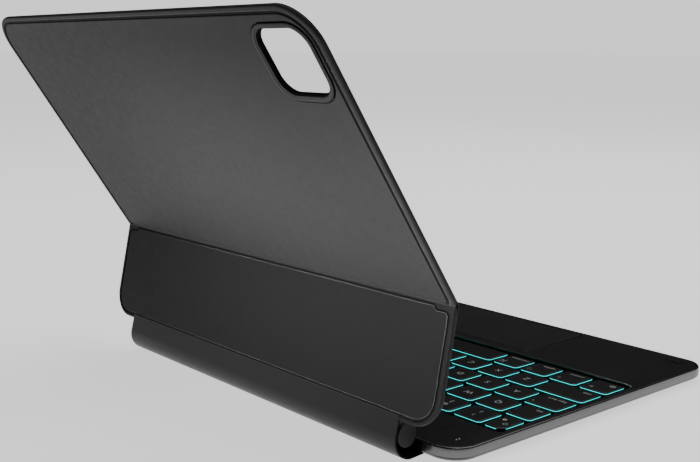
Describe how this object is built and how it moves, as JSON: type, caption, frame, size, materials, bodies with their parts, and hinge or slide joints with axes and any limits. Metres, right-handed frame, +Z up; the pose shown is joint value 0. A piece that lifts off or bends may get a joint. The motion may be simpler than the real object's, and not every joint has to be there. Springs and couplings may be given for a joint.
{
  "type": "tablet keyboard case",
  "caption": "Folding keyboard case for a tablet: slim keyboard base with trackpad, barrel hinge, short lower panel, and a folding upper panel with a camera window.",
  "frame": {"origin": "on the table under the middle of the whole object, open at its stand angle", "axes": "+X to the typist's right, +Y from the front edge back to the hinge, +Z up"},
  "size_m": [0.2504, 0.261, 0.1799],
  "materials": {
    "case_skin": "fine matte grain, soft sheen",
    "lining_microfibre": "short soft nap",
    "base_metal": "bead blasted, dark grey anodised",
    "deck_plastic": "fine satin texture",
    "key_plastic": "satin, with lit legends",
    "trackpad_glass": "smooth satin glass look, opaque",
    "barrel_coat": "satin dark grey paint",
    "bezel_plastic": "satin",
    "hinge_steel": "satin",
    "board_metal": "plain rolled sheet",
    "magnet_plating": "nickel plated",
    "circuit_board": "solder mask",
    "battery_foil": "foil pouch",
    "socket_steel": "drawn shell",
    "light_film": "clear film",
    "dome_rubber": "silicone",
    "foot_rubber": "matt",
    "bumper_rubber": "matt",
    "switch_plastic": "satin"
  },
  "bodies": {
    "base": {"base_tray": "base_metal", "deck_plate": "deck_plastic", "key_web": "deck_plastic", "dome_sheet": "dome_rubber", "light_guide": "light_film", "main_board": "circuit_board", "usb_socket": "socket_steel", "battery_left": "battery_foil", "battery_right": "battery_foil", "trackpad_cable": "light_film", "status_light_guide": "light_film", "foot_front_left": "foot_rubber", "foot_front_right": "foot_rubber", "foot_rear_left": "foot_rubber", "foot_rear_right": "foot_rubber", "bumper_left": "bumper_rubber", "bumper_right": "bumper_rubber", "hinge_barrel": "barrel_coat", "friction_sleeve_left": "hinge_steel", "friction_sleeve_right": "hinge_steel", "spine_skin": "case_skin"},
    "lower_panel": {"lower_cover": "case_skin", "lower_leaf": "hinge_steel", "lower_lining": "lining_microfibre", "hinge_pin_left": "hinge_steel", "hinge_pin_right": "hinge_steel", "barrel_cap_left": "barrel_coat", "barrel_cap_right": "barrel_coat", "fold_skin": "case_skin", "fold_pin": "hinge_steel"},
    "upper_panel": {"upper_cover": "case_skin", "upper_board": "board_metal", "upper_lining": "lining_microfibre", "camera_bezel": "bezel_plastic", "magnet_left": "magnet_plating", "magnet_right": "magnet_plating"},
    "trackpad": {"trackpad_glass": "trackpad_glass", "trackpad_board": "circuit_board"},
    "power_switch": {"switch_slider": "switch_plastic"},
    "key_delete_body": {"key_delete": "key_plastic"},
    "key_tab_body": {"key_tab": "key_plastic"},
    "key_caps_lock_body": {"key_caps_lock": "key_plastic"},
    "key_return_body": {"key_return": "key_plastic"},
    "key_shift_left_body": {"key_shift_left": "key_plastic"},
    "key_shift_right_body": {"key_shift_right": "key_plastic"},
    "key_globe_body": {"key_globe": "key_plastic"},
    "key_control_body": {"key_control": "key_plastic"},
    "key_option_left_body": {"key_option_left": "key_plastic"},
    "key_command_left_body": {"key_command_left": "key_plastic"},
    "key_space_bar_body": {"key_space_bar": "key_plastic"},
    "key_command_right_body": {"key_command_right": "key_plastic"},
    "key_option_right_body": {"key_option_right": "key_plastic"},
    "key_arrow_left_body": {"key_arrow_left": "key_plastic"},
    "key_arrow_up_body": {"key_arrow_up": "key_plastic"},
    "key_arrow_down_body": {"key_arrow_down": "key_plastic"},
    "key_arrow_right_body": {"key_arrow_right": "key_plastic"},
    "keys_number_row_body": {"keys_number_row": "key_plastic"},
    "keys_top_letters_body": {"keys_top_letters": "key_plastic"},
    "keys_home_letters_body": {"keys_home_letters": "key_plastic"},
    "keys_bottom_letters_body": {"keys_bottom_letters": "key_plastic"}
  },
  "joints": [
    {"name": "base_hinge", "type": "hinge", "parent": "base", "child": "lower_panel", "pos_m": [0, 0.06015, 0.0108], "axis": [1, 0, 0], "range_deg": [0, 78.5], "deforming": ["spine_skin"]},
    {"name": "fold_hinge", "type": "hinge", "parent": "lower_panel", "child": "upper_panel", "pos_m": [0, 0.05399, 0.06668], "axis": [1, 0, 0], "range_deg": [-8, 45.3], "deforming": ["fold_skin"]},
    {"name": "trackpad_click", "type": "slide", "parent": "base", "child": "trackpad", "axis": [0, 0, 1], "range_m": [-0.0003, 0], "stiffness_N_per_m": 1500},
    {"name": "power_switch_slide", "type": "slide", "parent": "base", "child": "power_switch", "axis": [0, 1, 0], "range_m": [0, 0.0025]},
    {"name": "key_delete_press", "type": "slide", "parent": "base", "child": "key_delete_body", "axis": [0, 0, 1], "range_m": [-0.00085, 0], "stiffness_N_per_m": 120, "deforming": ["dome_sheet"]},
    {"name": "key_tab_press", "type": "slide", "parent": "base", "child": "key_tab_body", "axis": [0, 0, 1], "range_m": [-0.00085, 0], "stiffness_N_per_m": 120},
    {"name": "key_caps_lock_press", "type": "slide", "parent": "base", "child": "key_caps_lock_body", "axis": [0, 0, 1], "range_m": [-0.00085, 0], "stiffness_N_per_m": 130},
    {"name": "key_return_press", "type": "slide", "parent": "base", "child": "key_return_body", "axis": [0, 0, 1], "range_m": [-0.00085, 0], "stiffness_N_per_m": 150},
    {"name": "key_shift_left_press", "type": "slide", "parent": "base", "child": "key_shift_left_body", "axis": [0, 0, 1], "range_m": [-0.00085, 0], "stiffness_N_per_m": 170},
    {"name": "key_shift_right_press", "type": "slide", "parent": "base", "child": "key_shift_right_body", "axis": [0, 0, 1], "range_m": [-0.00085, 0], "stiffness_N_per_m": 180},
    {"name": "key_globe_press", "type": "slide", "parent": "base", "child": "key_globe_body", "axis": [0, 0, 1], "range_m": [-0.00085, 0], "stiffness_N_per_m": 120},
    {"name": "key_control_press", "type": "slide", "parent": "base", "child": "key_control_body", "axis": [0, 0, 1], "range_m": [-0.00085, 0], "stiffness_N_per_m": 120},
    {"name": "key_option_left_press", "type": "slide", "parent": "base", "child": "key_option_left_body", "axis": [0, 0, 1], "range_m": [-0.00085, 0], "stiffness_N_per_m": 120},
    {"name": "key_command_left_press", "type": "slide", "parent": "base", "child": "key_command_left_body", "axis": [0, 0, 1], "range_m": [-0.00085, 0], "stiffness_N_per_m": 120},
    {"name": "key_space_bar_press", "type": "slide", "parent": "base", "child": "key_space_bar_body", "axis": [0, 0, 1], "range_m": [-0.00085, 0], "stiffness_N_per_m": 300},
    {"name": "key_command_right_press", "type": "slide", "parent": "base", "child": "key_command_right_body", "axis": [0, 0, 1], "range_m": [-0.00085, 0], "stiffness_N_per_m": 120},
    {"name": "key_option_right_press", "type": "slide", "parent": "base", "child": "key_option_right_body", "axis": [0, 0, 1], "range_m": [-0.00085, 0], "stiffness_N_per_m": 120},
    {"name": "key_arrow_left_press", "type": "slide", "parent": "base", "child": "key_arrow_left_body", "axis": [0, 0, 1], "range_m": [-0.00085, 0], "stiffness_N_per_m": 120},
    {"name": "key_arrow_up_press", "type": "slide", "parent": "base", "child": "key_arrow_up_body", "axis": [0, 0, 1], "range_m": [-0.00085, 0], "stiffness_N_per_m": 120},
    {"name": "key_arrow_down_press", "type": "slide", "parent": "base", "child": "key_arrow_down_body", "axis": [0, 0, 1], "range_m": [-0.00085, 0], "stiffness_N_per_m": 120},
    {"name": "key_arrow_right_press", "type": "slide", "parent": "base", "child": "key_arrow_right_body", "axis": [0, 0, 1], "range_m": [-0.00085, 0], "stiffness_N_per_m": 120},
    {"name": "keys_number_row_press", "type": "slide", "parent": "base", "child": "keys_number_row_body", "axis": [0, 0, 1], "range_m": [-0.00085, 0], "stiffness_N_per_m": 800},
    {"name": "keys_top_letters_press", "type": "slide", "parent": "base", "child": "keys_top_letters_body", "axis": [0, 0, 1], "range_m": [-0.00085, 0], "stiffness_N_per_m": 800},
    {"name": "keys_home_letters_press", "type": "slide", "parent": "base", "child": "keys_home_letters_body", "axis": [0, 0, 1], "range_m": [-0.00085, 0], "stiffness_N_per_m": 800},
    {"name": "keys_bottom_letters_press", "type": "slide", "parent": "base", "child": "keys_bottom_letters_body", "axis": [0, 0, 1], "range_m": [-0.00085, 0], "stiffness_N_per_m": 800}
  ]
}
